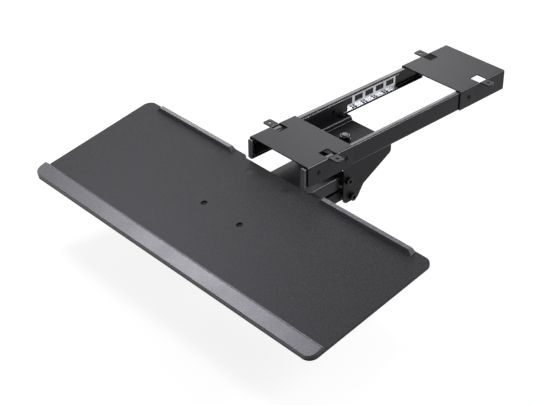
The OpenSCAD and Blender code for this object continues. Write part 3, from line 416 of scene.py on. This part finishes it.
def lock_nut(name, node, material, body, across_flats, bore, collar_rise):
    """Hexagon lock nut: a 30 degree chamfer cuts the corners in arcs, a rounded collar stands on top."""
    low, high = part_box(node)
    centre = Vector(((low[0] + high[0]) / 2, (low[1] + high[1]) / 2, low[2]))
    height = high[2] - low[2] - collar_rise
    flat, chamfer_from = across_flats / 2, across_flats * 0.475

    def hexagon(angle):
        return flat / math.cos((angle % math.radians(60)) - math.radians(30))

    def circle(radius):
        return lambda angle: radius

    def level(z):
        return lambda radius: z

    def chamfer_top(radius):
        return height - max(0.0, radius - chamfer_from) * math.tan(NUT_CHAMFER)

    def chamfer_foot(radius):
        return max(0.0, radius - chamfer_from) * math.tan(NUT_CHAMFER)

    made = bmesh.new()
    rings = [
        ring_of(made, circle(bore / 2), level(0), centre, NUT_SEGMENTS),
        ring_of(made, circle(chamfer_from), level(0), centre, NUT_SEGMENTS),
        ring_of(made, hexagon, chamfer_foot, centre, NUT_SEGMENTS),
        ring_of(made, hexagon, chamfer_top, centre, NUT_SEGMENTS),
        ring_of(made, circle(chamfer_from), level(height), centre, NUT_SEGMENTS),
        ring_of(made, circle(chamfer_from * 0.93), level(height), centre, NUT_SEGMENTS),
    ]
    collar_out = chamfer_from * 0.90
    for turn in range(CORNER_STEPS + 1):
        angle = math.radians(90) * turn / CORNER_STEPS
        radius = collar_out - collar_rise * (1 - math.cos(angle))
        top = level(height + collar_rise * math.sin(angle))
        rings.append(ring_of(made, circle(radius), top, centre, NUT_SEGMENTS))
    rings.append(ring_of(made, circle(bore / 2), level(height + collar_rise * 0.8), centre, NUT_SEGMENTS))
    for inner, outer in zip(rings, rings[1:] + rings[:1]):
        for step in range(NUT_SEGMENTS):
            after = (step + 1) % NUT_SEGMENTS
            made.faces.new((inner[step], inner[after], outer[after], outer[step])).smooth = True
    bmesh.ops.recalc_face_normals(made, faces=made.faces)
    for edge in made.edges:
        if len(edge.link_faces) == 2 and edge.calc_face_angle() > SHARP_EDGE:
            edge.smooth = False
    return add_piece(name, made, material, "black_oxide", body, node)


# Stage


def area_light(name, at, aim, width, height, watts):
    data = bpy.data.lights.new(name, "AREA")
    data.shape = "RECTANGLE"
    data.size = width
    data.size_y = height
    data.energy = watts
    lamp = bpy.data.objects.new(name, data)
    lamp.location = at
    lamp.rotation_mode = "QUATERNION"
    lamp.rotation_quaternion = (Vector(aim) - Vector(at)).to_track_quat("-Z", "Y")
    bpy.context.collection.objects.link(lamp)


def add_lights():
    middle = (0.0, -0.15, -0.05)
    area_light("back_left_softbox", (-1.58, 1.62, 1.22), middle, 0.8, 0.5, 10.5)
    area_light("left_softbox", (-1.42, -0.30, 1.78), (0.05, -0.45, -0.1), 0.5, 0.4, 26)
    area_light("high_left_softbox", (-1.72, 0.48, 1.49), (-0.15, -0.30, -0.05), 0.4, 0.3, 2.6)
    area_light("back_right_softbox", (1.40, 1.25, 1.55), middle, 0.9, 0.7, 40)
    area_light("overhead", (0.3, -0.3, 2.4), middle, 1.2, 1.2, 7)


def ray_test(tree, names):
    """1 for the kinds of ray in names, else 0."""
    path = tree.nodes.new("ShaderNodeLightPath")
    total = path.outputs[names[0]]
    for name in names[1:]:
        either = tree.nodes.new("ShaderNodeMath")
        either.operation = "MAXIMUM"
        tree.links.new(total, either.inputs[0])
        tree.links.new(path.outputs[name], either.inputs[1])
        total = either.outputs[0]
    return total


def add_world():
    world = bpy.data.worlds.new("studio")
    bpy.context.scene.world = world
    world.use_nodes = True
    tree = world.node_tree
    lit = tree.nodes["Background"]
    lit.inputs["Color"].default_value = (1, 1, 1, 1)
    lit.inputs["Strength"].default_value = SKY_STRENGTH
    seen = tree.nodes.new("ShaderNodeBackground")
    seen.inputs["Color"].default_value = (1, 1, 1, 1)
    seen.inputs["Strength"].default_value = 1.0
    mix = tree.nodes.new("ShaderNodeMixShader")
    tree.links.new(ray_test(tree, BACKGROUND_RAYS), mix.inputs["Fac"])
    tree.links.new(lit.outputs["Background"], mix.inputs[1])
    tree.links.new(seen.outputs["Background"], mix.inputs[2])
    tree.links.new(mix.outputs["Shader"], tree.nodes["World Output"].inputs["Surface"])


def add_floor():
    bpy.ops.mesh.primitive_plane_add(size=FLOOR_SIZE, location=(0, 0, cad_low[2] - FLOOR_DROP))
    floor = bpy.context.object
    floor.name = "floor"
    s = Shader("floor")
    tone = s.ramp(s.noise(3.0), [(0.3, (0.20, 0.20, 0.20)), (0.7, (0.22, 0.22, 0.22))])
    s.link(tone, s.surface.inputs["Base Color"])
    s.set(Roughness=0.9, Specular_IOR_Level=0.0)
    glow = s.node("ShaderNodeEmission", Strength=FLOOR_GLOW)
    glow.inputs["Color"].default_value = (1, 1, 1, 1)
    dark = s.node("ShaderNodeEmission", Strength=0.0)
    seen = s.node("ShaderNodeMixShader")
    s.link(ray_test(s.tree, BACKGROUND_RAYS), seen.inputs["Fac"])
    s.link(dark.outputs["Emission"], seen.inputs[1])
    s.link(glow.outputs["Emission"], seen.inputs[2])
    both = s.node("ShaderNodeAddShader")
    s.link(s.surface.outputs["BSDF"], both.inputs[0])
    s.link(seen.outputs["Shader"], both.inputs[1])
    s.link(both.outputs["Shader"], s.tree.nodes["Material Output"].inputs["Surface"])
    floor.data.materials.append(s.material)


def add_camera():
    data = bpy.data.cameras.new("camera")
    data.sensor_width = SENSOR_MM
    data.lens = FOCAL_PX / IMAGE_WIDTH_PX * SENSOR_MM
    data.clip_start = 0.01
    data.clip_end = 50
    camera = bpy.data.objects.new("camera", data)
    turn = Matrix((CAMERA_RIGHT, CAMERA_UP, -CAMERA_FORWARD)).transposed()
    camera.matrix_world = Matrix.Translation(CAMERA_AT) @ turn.to_4x4()
    bpy.context.collection.objects.link(camera)
    bpy.context.scene.camera = camera


add_camera()
add_world()
add_lights()
add_floor()
dress_nodes()
web_end("upper_arm_web_end", "upper_arm", "arm", -131.25, -71.5, 5.0)
web_end("lower_link_web_end", "lower_link", "link", -121.75, -105.0, -7.0)
lock_nut("swivel_lock_nut", "swivel_nut", NUT_BLACK, "swivel_saddle", NUT_FLATS, NUT_BORE, NUT_COLLAR_RISE)
bpy.context.scene.view_settings.view_transform = "Standard"
